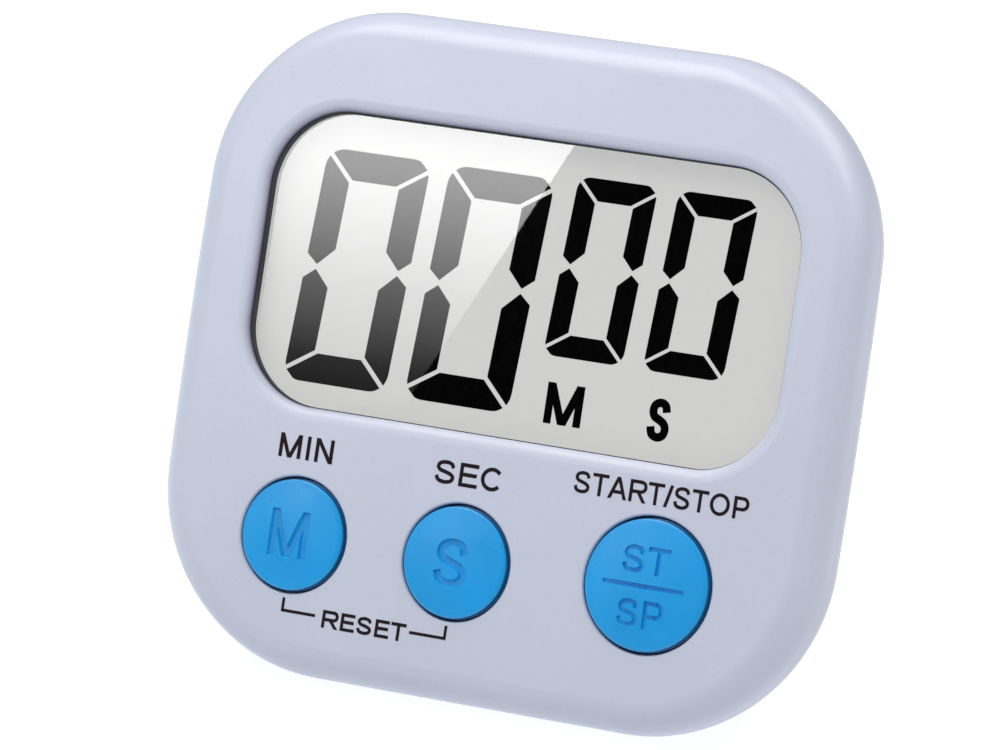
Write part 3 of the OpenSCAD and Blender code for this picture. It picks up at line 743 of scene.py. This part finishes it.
def zero_digit(middle, width, height, stroke, corner, gap, notches, slant=0.06):
    """Six separate segments of a zero around its middle; notches are the heights of the gaps
    in its left and right sides."""
    w, h, t, c = width / 2, height / 2, stroke, corner
    half_gap = gap / c
    shapes = []
    for flip_y in (1, -1):
        bar, inner_bar = [], []
        for flip_x, notch in ((-1, notches[0]), (1, notches[1])):
            # The cut is flatter at the upper right and lower left corners
            along, cut = (math.radians(24), math.radians(36)) if flip_x == flip_y else (
                math.radians(42), math.radians(45))
            bend = [(w - c + c * math.cos(a), h - c + c * math.sin(a))
                    for a in (along + half_gap, 1.15, 1.35, math.pi / 2)]
            level = notch * flip_y
            side = [(w - c + c * math.cos(a), h - c + c * math.sin(a))
                    for a in (0, along * 0.35, along * 0.7, along - half_gap)]
            side += [(w - t, h - t - gap / math.cos(cut)), (w - t, level + 0.66 * t),
                     (w - 0.42 * t, level + gap * 1.1), (w, level + 0.42 * t)]
            shapes.append([(x * flip_x, y * flip_y) for x, y in side])
            bar += [(x * flip_x, y * flip_y) for x, y in (bend if flip_x < 0 else bend[::-1])]
            inner_bar.append((flip_x * (w - t - gap / math.sin(cut)), flip_y * (h - t)))
        shapes.append(bar + inner_bar[::-1])
    return [[(middle[0] + x + slant * y, middle[1] + y) for x, y in shape] for shape in shapes]


def smooth_path(points, steps=6):
    """Catmull-Rom curve through 2-D points."""
    out = []
    for i in range(len(points) - 1):
        a, b, c, d = (Vector(points[max(0, min(len(points) - 1, i + k))]) for k in (-1, 0, 1, 2))
        for k in range(steps):
            t = k / steps
            out.append(0.5 * (2 * b + (c - a) * t + (2 * a - 5 * b + 4 * c - d) * t * t
                              + (3 * b - a - 3 * c + d) * t ** 3))
    return out + [Vector(points[-1])]


def heading(points, i):
    """Direction of a path at its point i."""
    return (Vector(points[min(i + 1, len(points) - 1)]) - Vector(points[max(i - 1, 0)])).normalized()


def ribbon(points, width):
    """Polygon around a centre line."""
    left, right = [], []
    for i, p in enumerate(points):
        ahead = heading(points, i)
        across = Vector((-ahead.y, ahead.x)) * width / 2
        left.append(tuple(Vector(p) + across))
        right.append(tuple(Vector(p) - across))
    return left + right[::-1]


def leaning(x0, x1, width, y0, y1):
    """Slanted stroke with level ends."""
    h = width / 2 * math.hypot(1, (x1 - x0) / (y1 - y0))
    return [(x0 - h, y0), (x0 + h, y0), (x1 + h, y1), (x1 - h, y1)]


def glyph(letter, w, h, t, spread=0.0):
    """Strokes of one plain capital w wide and h high; spread widens each stroke all round."""
    m, s, e = t / 2, t + spread, spread / 2
    mid = h / 2

    def stem(x):
        return [(x - s / 2, -e), (x + s / 2, -e), (x + s / 2, h + e), (x - s / 2, h + e)]

    def bar(y, x0=0.0, x1=w):
        low, high = y - s / 2, y + s / 2
        return [(x0 - e, low), (x1 + e, low), (x1 + e, high), (x0 - e, high)]

    def slant(x0, x1, top=h + e):
        return leaning(x0, x1, s, -e, top)

    def bow(x, y, rx, ry, start, end):
        return ribbon(arc(x, y, rx, ry, start, end, 20), s)

    def bowl(low):
        ry = (h - m - low) / 2
        return [bar(h - m, m, w - m - ry), bar(low, m, w - m - ry),
                bow(w - m - ry, low + ry, ry, ry, -92, 92)]

    if letter == "I":
        return [stem(m)]
    if letter == "M":
        return [stem(m), stem(w - m), slant(w / 2, m), slant(w / 2, w - m)]
    if letter == "N":
        return [stem(m), stem(w - m), slant(w - m, m)]
    if letter == "E":
        return [stem(m), bar(h - m, m), bar(mid + m * 0.2, m, w * 0.93), bar(m, m)]
    if letter == "T":
        return [bar(h - m), [(x + w / 2 - m, y) for x, y in stem(m)]]
    if letter == "A":
        return [slant(m, w / 2), slant(w - m, w / 2), bar(h * 0.32, w * 0.2, w * 0.8)]
    if letter == "/":
        return [slant(m, w - m)]
    if letter == "P":
        return [stem(m)] + bowl(h * 0.44)
    if letter == "R":
        return [stem(m)] + bowl(h * 0.48) + [slant(w - m * 1.1, w * 0.5, h * 0.48)]
    if letter == "O":
        return [bow(w / 2, mid, w / 2 - m, mid - m, a, a + 184) for a in (-2, 178)]
    if letter == "C":
        return [bow(w / 2, mid, w / 2 - m, mid - m, 40, 320)]
    curve = [(0.95, 0.74), (0.84, 0.93), (0.5, 1.0), (0.15, 0.92), (0.05, 0.74), (0.18, 0.59),
             (0.5, 0.51), (0.84, 0.41), (0.98, 0.25), (0.86, 0.07), (0.5, 0.0), (0.13, 0.08),
             (0.0, 0.29)]
    return [ribbon(smooth_path([(m + x * (w - t), m + y * (h - t)) for x, y in curve]), s)]


# Left bearing, width and right bearing of each capital, in cap heights
GLYPHS = {
    "M": (0.10, 0.95, 0.10), "I": (0.13, 0.14, 0.13), "N": (0.11, 0.78, 0.11),
    "S": (0.06, 0.80, 0.06), "E": (0.11, 0.74, 0.05), "C": (0.07, 0.88, 0.05),
    "T": (0.03, 0.80, 0.03), "A": (0.00, 0.93, 0.00), "R": (0.11, 0.86, 0.02),
    "O": (0.07, 0.97, 0.07), "P": (0.11, 0.76, 0.05), "/": (0.00, 0.40, 0.00),
}


def strokes(words, low, high, z_front, z_back, stroke, slope=0.0):
    """Solid strokes of capitals that fill a box; slope widens them to the front."""
    height = high[1] - low[1]
    start = GLYPHS[words[0]][0]
    total = sum(sum(GLYPHS[c]) for c in words) - start - GLYPHS[words[-1]][2]
    scale = (high[0] - low[0]) / total
    x = low[0] - start * scale
    parts = []
    for c in words:
        before, width, after = (scale * v for v in GLYPHS[c])
        x += before
        levels = [glyph(c, width, height, stroke, spread) for spread in (slope, -slope)]
        for front, rear in zip(*levels):
            deeper = 0.003 * (len(parts) % 4)
            rings = [[(x + px, low[1] + py, z) for px, py in polygon]
                     for polygon, z in ((front, z_front + deeper), (rear, z_back - deeper))]
            parts.append(loft("stroke", rings))
        x += width + after
    return parts


def lettering(*box):
    return merged(strokes(*box))


def display():
    z0, z1 = DIGIT_Z, DIGIT_Z + 0.03
    shapes = []
    for x, notches in ((-20.32, (-0.25, 0.3)), (-5.36, (0, 0.4))):
        shapes += zero_digit((x, 8.08), 12.6, 25.8, 3.25, 2.1, 0.25, notches)
    for x in (8.55, 20.38):
        shapes += zero_digit((x, 11.93), 9.4, 19.6, 2.45, 1.5, 0.2, (0, 0.25))
    digits = merged([slab(shape, z1, z0) for shape in shapes])
    piece(digits, "display_digits", "case", "lcd_film", MAT["segment"])
    letters = [lettering("M", (4.43, -5.15), (8.83, -0.68), z1, z0, 0.9),
               lettering("S", (16.55, -5.25), (19.2, -0.6), z1, z0, 0.92)]
    piece(merged(letters), "display_letters", "case", "lcd_film", MAT["segment"])


def print_on_case():
    z0, z1 = -0.005, 0.022
    words = [lettering("MIN", (-25.15, -13.24), (-18.55, -10.62), z1, z0, 0.43),
             lettering("SEC", (-6.1, -13.3), (2.05, -10.72), z1, z0, 0.42),
             lettering("START/STOP", (10.35, -11.9), (30.8, -9.5), z1, z0, 0.37),
             lettering("RESET", (-16.95, -30.93), (-6.75, -28.98), z1, z0, 0.36)]
    # Bracket from the two smaller buttons to the word between them
    line, low, high = 0.33, -29.95, -28.4
    for x, end in ((-21.88, -17.85), (-2.1, -6.35)):
        words.append(block((x - line / 2, low, z0), (x + line / 2, high, z1)))
        words.append(block((min(x, end), low, z0), (max(x, end), low + line, z1)))
    piece(merged(words), "printed_legends", "case", "case_plastic", MAT["ink"])


# ---- Buttons ----

def skin(mesh):
    """Volume of a mesh, and whether its skin is closed."""
    bm = bmesh.new()
    bm.from_mesh(mesh)
    result = bm.calc_volume(), all(len(edge.link_faces) == 2 for edge in bm.edges)
    bm.free()
    return result


def engrave(cap, tool):
    """Cuts one stroke; a cut that tears the skin is made again with the tool moved a hair."""
    tries, nudge, least = 4, Vector((0.004, -0.003, -0.005)), 0.95
    before = cap.data
    volume = skin(before)[0]
    faces = [tuple(polygon.vertices) for polygon in tool.data.polygons]
    for k in range(tries):
        cap.data = before.copy()
        trial = solid("trial", [tuple(v.co + nudge * k) for v in tool.data.vertices], faces)
        combine(cap, [trial], "DIFFERENCE", True)
        left, closed = skin(cap.data)
        if closed and least * volume < left < volume:
            break
    bpy.data.objects.remove(tool)


def button(key, slope, legends):
    """Slightly crowned hollow cap with a flange, its legends cut in with sloping sides."""
    x, y, hole = BUTTONS[key]
    r = hole - GAP
    edge, depth, crown, skirt = 0.85, 0.2, 0.26, 0.14
    outer, inner, flange_back = r + 0.7, r - 1.1, FLANGE_FRONT - FLANGE_T
    ceiling, stem_r = RISE - 1.2, 1.6
    profile = [(0, RISE)]
    profile += [((r - edge) * k / 10, RISE - crown * (k / 10) ** 2) for k in range(1, 10)]
    profile += arc(r - edge, RISE - crown - depth, edge, depth, 90, 0, 12)
    profile += [(r, -0.5), (r + skirt, -0.55), (r + skirt, FLANGE_FRONT), (outer, FLANGE_FRONT),
                (outer, flange_back), (inner, flange_back), (inner, ceiling), (stem_r, ceiling),
                (stem_r, PLUNGER_TOP), (0, PLUNGER_TOP)]
    cap = lathe(key, profile, (x, y))
    top, floor_z = RISE + 0.1, RISE - 0.38
    tools = [part for words, low, high, stroke in legends
             for part in strokes(words, low, high, top, floor_z, stroke, slope)]
    if key == "start":
        middle = (x - 0.2, y - 0.16)
        tools.append(loft("bar", [at_level(rounded(9.5 + e, 0.45 + e, 0.15 + e / 2, middle, 4), z)
                                  for e, z in ((slope, top), (-slope * 0.5, floor_z))]))
    for tool in tools:
        engrave(cap, tool)
    piece(cap, key + "_cap", key + "_button", "button_plastic", MAT["button"], key + "_button",
          sharp=55)


# ---- Battery, door, stand, fasteners ----

def battery_door():
    """Door with two hooks, a tongue between two slots, grips and an arrow."""
    z, right = BACK_Z, DOOR_W / 2
    grow = grown(DOOR_W, DOOR_H, 1.5, (0, CELL_Y), 10)
    door = loft("door", [at_level(grow(-0.1), z + DOOR_T), at_level(grow(0), z + DOOR_T - 0.1)]
                + [at_level(grow(-inset), z + depth) for inset, depth in quarter_round(0.35, 6)])
    hooks = [block((-right - 1.1, CELL_Y + dy - 1.5, z + 0.9),
                   (-right + 1, CELL_Y + dy + 1.5, z + DOOR_T - 0.02)) for dy in HOOK_STEPS]
    combine(door, hooks, "UNION")
    cuts = [block((right - 7, y - 0.4, z - 1), (right - 1, y + 0.4, z + 3))
            for y in (CELL_Y - 4, CELL_Y + 4)]
    for k in range(4):
        grip = rounded(0.55, 5.2, 0.27, (right - 2.75 - 1.2 * k, CELL_Y), 4)
        cuts.append(slab(grip, z + 0.35, z - 1))
    tip = right - 14.6
    arrow = [(tip, CELL_Y), (tip + 2.6, CELL_Y - 1.8), (tip + 2.6, CELL_Y + 1.8)]
    cuts.append(slab(arrow, z + 0.25, z - 1))
    combine(door, cuts)
    piece(door, "door_panel", "battery_door", "case_plastic", MAT["case"], "battery_door")


def stand():
    """Plate with pegs, made folded, then turned out and cut off level with the worktop."""
    half, z, inner = STAND_W / 2, BACK_Z, BACK_Z + STAND_T
    end, top = HINGE_Y - BASE_UP, HINGE_Y + 2.1
    grow = grown(STAND_W, top - end, 1.6, (0, (top + end) / 2), 8)
    edges = quarter_round(0.45, 5)
    rings = [at_level(grow(-inset), inner - depth) for inset, depth in reversed(edges)]
    rings += [at_level(grow(-inset), z + depth) for inset, depth in edges]
    leg = loft("stand", rings)
    barrel = rod(-half, half, HINGE_Y, HINGE_Z, 1.6)
    rib = block((-half + 0.6, HINGE_Y + 1.1, z + 1), (half - 0.6, HINGE_Y + 2.05, inner + 0.45))
    pegs = rod(-half - 1.5, half + 1.5, HINGE_Y, HINGE_Z, PEG_R)
    for tool in (barrel, rib, pegs):
        combine(leg, [tool], "UNION")
    combine(leg, [mouth(grown(11, 20, 1.2, (x, HINGE_Y - 15), 6), inner, inner - 0.8, 0.25)
                  for x in (-7, 7)])
    combine(leg, [slab(rounded(12, 0.6, 0.29, (0, end + 3.2 + 1.4 * k), 4), z + 0.3, z - 1)
                  for k in range(4)])
    turn = (Matrix.Translation((0, HINGE_Y, HINGE_Z))
            @ Matrix.Rotation(math.radians(STAND_OPEN), 4, "X")
            @ Matrix.Translation((0, -HINGE_Y, -HINGE_Z)))
    leg.data.transform(FACE @ turn)
    below = CASE_W
    combine(leg, [block((-below, -below, -below), (below, below, 0))])
    leg.data.transform(Matrix.Scale(0.001, 4))
    return leg


def cell():
    """AAA cell turned about z, then laid along x; its nub is at the right."""
    r, top, sunk = CELL_D / 2, CELL_BODY, CELL_BODY - 0.05
    body = [(0, 0), (r - 1.3, 0)] + arc(r - 0.45, 0.45, 0.45, 0.45, -90, 0, 5)
    body += arc(r - 0.5, top - 0.5, 0.5, 0.5, 0, 90, 5)
    body += [(3.2, top), (3.1, sunk), (2.3, sunk)]
    body += arc(1.5, top + 0.5, 0.4, 0.4, 0, 90, 5) + [(0, top + CELL_NUB)]
    obj = lathe("cell", body, steps=96)
    obj.data.transform(Matrix.Translation((CELL_START, CELL_Y, CELL_Z))
                       @ Matrix.Rotation(math.pi / 2, 4, "Y"))
    piece(obj, "aaa_cell", "case", "cell_jacket", MAT["cell"], "battery")


def tube(name, points, r, sides=12):
    """Round wire along a smooth path."""
    rings = []
    normal = Vector((0.3, 1, 0.2))
    for i, p in enumerate(points):
        t = heading(points, i)
        normal = (normal - t * normal.dot(t)).normalized()
        across = t.cross(normal)
        rings.append([tuple(Vector(p) + r * (math.cos(a) * normal + math.sin(a) * across))
                      for a in (2 * math.pi * k / sides for k in range(sides))])
    return loft(name, rings)


def spring():
    """Conical coil on its plate, with the tab that takes the lead."""
    x_plate, coils = -BAY_X + 0.35, 4
    path = []
    for s in spaced(0, 1, coils * 40):
        r, a = 3.8 - 1.6 * s, 2 * math.pi * coils * s
        path.append((x_plate + 0.2 + (CELL_START - x_plate - 0.7) * s,
                     CELL_Y + r * math.cos(a), CELL_Z + r * math.sin(a)))
    obj = tube("spring", path, 0.3)
    back = block((-BAY_X, CELL_Y - 5, CELL_Z - 4.6), (x_plate, CELL_Y + 5, CELL_Z + 4.6))
    soften(back, 0.08)
    tab = block((-28.4, 14, -12.7), (-BAY_X + 0.1, 16, -12.3))
    piece(merged([obj, back, tab]), "spring_contact", "case", "nickel", MAT["nickel"], "battery_spring")


def screws(name, places, shank, head, head_t, z_tip, z_seat, node):
    """Cross-headed screws: domed head, tapered tip, turned thread."""
    parts = []
    z_back, core, pitch = z_seat - head_t, shank * 0.8, 0.5
    body = [(0, z_back)] + [(head * math.sin(t), z_back + head_t * 0.55 * (1 - math.cos(t)))
                            for t in turns(0, 90, 8)[1:]]
    body += [(head, z_seat), (core, z_seat)]
    for k in range(int((z_tip - 1 - z_seat) / pitch)):
        z = z_seat + 0.3
        body += [(core, z + k * pitch), (shank, z + (k + 0.5) * pitch)]
    body += [(shank * 0.7, z_tip - 0.7), (0, z_tip)]
    for at in places:
        obj = lathe("screw", body, at, 40)
        for a, b in ((1.3, 0.3), (0.3, 1.3)):
            cut = block((at[0] - head * a / 2, at[1] - head * b / 2, z_back - 1),
                        (at[0] + head * a / 2, at[1] + head * b / 2, z_back + head_t * 0.5))
            combine(obj, [cut])
        parts.append(obj)
    piece(merged(parts), name, "case", "plated_steel", MAT["steel"], node)


def magnets():
    low, high, edge = BACK_Z + 0.05, BACK_Z + MAGNET_T + 0.05, 0.2
    profile = [(0, low)] + arc(MAGNET_R - edge, low + edge, edge, edge, -90, 0, 4)
    profile += arc(MAGNET_R - edge, high - edge, edge, edge, 0, 90, 4) + [(0, high)]
    discs = [lathe("magnet", profile, at, 72) for at in MAGNETS]
    piece(merged(discs), "magnet_discs", "case", "nickel", MAT["nickel"], "magnets")


front_case()
back_case()
window()
display()
print_on_case()
button("min", 0.2, [("M", (-24.5, -24.05), (-19.85, -18.85), 0.85)])
button("sec", 0.2, [("S", (-4.35, -24.25), (-0.35, -18.95), 0.85)])
button("start", 0.12, [("ST", (17.5, -19.3), (23.0, -16.3), 0.5),
                       ("SP", (17.7, -25.1), (23.1, -22.1), 0.5)])
battery_door()
piece(stand(), "stand_leg", "stand", "case_plastic", MAT["case"], "stand", in_face=False)
cell()
spring()
screws("back_screws", CASE_POSTS, 0.88, 1.9, 1.2, SPLIT_Z + 4.5, SCREW_SEAT, "case_screws")
magnets()

# Inner CAD pieces keep their shape and take a finish
FINISH = {
    "lcd_polarizer": "display", "lcd_front_glass": "glass", "lcd_rear_glass": "glass",
    "lcd_reflector": "reflector", "lcd_frame": "frame", "lcd_connector": "rubber",
    "circuit_board": "board", "board_screws": "steel", "chip_blob": "resin",
    "timing_crystal": "steel", "board_parts": "chip", "switch_bases": "switch",
    "min_plunger": "switch", "sec_plunger": "switch", "start_plunger": "switch",
    "buzzer_disc": "brass", "buzzer_crystal": "piezo", "buzzer_leads": "red",
    "battery_plate": "nickel", "red_lead": "red", "black_lead": "black",
}
for node, key in FINISH.items():
    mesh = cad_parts[node].data
    mesh.materials.clear()
    mesh.materials.append(MAT[key])

# ---- Camera, at the viewing angle of the face ----

AZIMUTH, ELEVATION, ROLL = math.radians(24.69), math.radians(1.015), math.radians(8.485)
DISTANCE, LENS_MM, SHIFT_X, SHIFT_Y = 706.7, 236.2, 0.263, 0.716
back = Vector((math.sin(AZIMUTH) * math.cos(ELEVATION), math.sin(ELEVATION),
               math.cos(AZIMUTH) * math.cos(ELEVATION)))
level_right = Vector((math.cos(AZIMUTH), 0, -math.sin(AZIMUTH)))
level_up = back.cross(level_right)
right = level_right * math.cos(ROLL) + level_up * math.sin(ROLL)
up = level_up * math.cos(ROLL) - level_right * math.sin(ROLL)
eye = back * DISTANCE - right * SHIFT_X - up * SHIFT_Y
camera = linked("camera", bpy.data.cameras.new("camera"))
axes = Matrix([FACE.to_3x3() @ axis for axis in (right, up, back)]).transposed()
camera.matrix_world = Matrix.Translation(TO_ROW @ eye) @ axes.to_4x4()
camera.data.lens = LENS_MM
camera.data.sensor_width = 36
camera.data.clip_start, camera.data.clip_end = 0.02, 60
SCENE.camera = camera


# ---- Floor, light and the bright card that the window mirrors ----

def emissive(name, colour, strength):
    mat = bpy.data.materials.new(name)
    mat.use_nodes = True
    sockets = mat.node_tree.nodes["Principled BSDF"].inputs
    for key, value in (("Base Color", (*colour, 1)), ("Roughness", 0.9), ("Specular IOR Level", 0.1),
                       ("Emission Color", (*colour, 1)), ("Emission Strength", strength)):
        sockets[key].default_value = value
    return mat


corners = [(-6, -6), (6, -6), (6, 6), (-6, 6)]
floor = solid("floor", at_level(corners, -0.00005), [(0, 1, 2, 3)])
floor.data.materials.append(emissive("floor_white", (0.82, 0.82, 0.83), 0.72))
floor.visible_diffuse = False

world = bpy.data.worlds.new("studio")
world.use_nodes = True
air, link = world.node_tree.nodes, world.node_tree.links.new
sky = air["Background"]
sky.inputs["Color"].default_value = (0.91, 0.94, 1.0, 1)
height = air.new("ShaderNodeSeparateXYZ")
link(air.new("ShaderNodeTexCoord").outputs["Generated"], height.inputs[0])
# Brighter from below, as light thrown back by the worktop
bounce = air.new("ShaderNodeMapRange")
for key, value in (("From Min", -0.5), ("From Max", 0.1), ("To Min", 0.95), ("To Max", 0.33)):
    bounce.inputs[key].default_value = value
link(height.outputs["Z"], bounce.inputs["Value"])
link(bounce.outputs["Result"], sky.inputs["Strength"])
SCENE.world = world
SCENE.view_settings.view_transform = "Standard"
SCENE.view_settings.look = "None"


def area(name, at, aim, size, power, colour):
    """Soft rectangular lamp given by points in the face frame, in millimetres."""
    data = bpy.data.lights.new(name, "AREA")
    data.shape = "RECTANGLE"
    data.size, data.size_y = size
    data.energy = power
    data.color = colour
    obj = linked(name, data)
    obj.location = TO_ROW @ Vector(at)
    direction = (TO_ROW @ Vector(aim)) - obj.location
    obj.rotation_euler = direction.to_track_quat("-Z", "Y").to_euler()


area("key", (-150, 330, 260), (0, 20, 0), (0.34, 0.26), 1.22, (1.0, 0.955, 0.93))
area("side", (-480, 40, 240), (0, 0, 0), (0.5, 0.6), 0.40, (0.80, 0.93, 1.0))
area("warm", (300, -10, 160), (25, 0, -5), (0.4, 0.45), 0.21, (1.0, 0.80, 0.78))
area("rim", (240, 420, 120), (25, 25, -5), (0.4, 0.3), 1.04, (1.0, 0.99, 0.97))
area("soft", (-300, 150, 480), (0, -20, 0), (0.22, 0.2), 0.14, (0.96, 1.0, 1.0))


def mirrored(x, y, mirror_z, far_z):
    """Where the sight line to (x, y), mirrored in the plane at mirror_z, meets the plane far_z."""
    image = Vector((eye.x, eye.y, 2 * mirror_z - eye.z))
    ray = Vector((x, y, mirror_z)) - image
    return image + ray * ((far_z - image.z) / ray.z)


def card(name, corners, mirror_z, far_z, material):
    """Flat card in front of the face that shows only in reflections."""
    points = [tuple(TO_ROW @ mirrored(x, y, mirror_z, far_z)) for x, y in corners]
    obj = solid(name, points, [tuple(range(len(points)))])
    obj.data.materials.append(material)
    obj.visible_camera = obj.visible_diffuse = obj.visible_shadow = False


def card_light(name, strength, low, high, stops):
    """Emission that fades between two heights along the face."""
    n = Nodes(name)
    n.tree.nodes.remove(n.bsdf)
    light = n.add("ShaderNodeEmission")
    light.inputs["Strength"].default_value = strength
    n.link(n.ramp(n.along(UP_FACE, low, high), stops), light.inputs["Color"])
    n.link(light.outputs["Emission"], n.out.inputs["Surface"])
    return n.mat


def reflections():
    """What the glossy front mirrors: a bright fading card with a slanted edge, a dark flag
    behind it, and a soft box above."""
    far = 380.0
    low, high = (Vector(TO_ROW @ mirrored(0, y, -WALL, far)).dot(UP_FACE) for y in (-5.5, 24))
    fade = card_light("glare_light", 12.4, low, high,
                      [(0.0, grey(0.03)), (0.12, grey(0.06)), (0.42, grey(0.31)), (0.5, grey(0.43)),
                       (0.85, grey(0.93)), (1.0, grey(1.0))])
    card("glare_card", [(4.7, 26.6), (-11.6, -5.5), (-33.5, -9.5), (-33.5, 28)], -WALL, far, fade)
    dark = emissive("flag_black", (0.002, 0.002, 0.002), 0.0)
    card("flag", [(-36, -14), (36, -14), (36, 30), (-36, 30)], -WALL, far + 8, dark)
    low, high = (Vector(TO_ROW @ mirrored(0, y, 0, far)).dot(UP_FACE) for y in (24, 60))
    box = card_light("box_light", 2.6, low, high,
                     [(0.0, grey(0.0)), (0.35, grey(0.8)), (1.0, grey(1.0))])
    card("top_box", [(-60, 24), (60, 24), (60, 60), (-60, 60)], 0, far, box)


reflections()
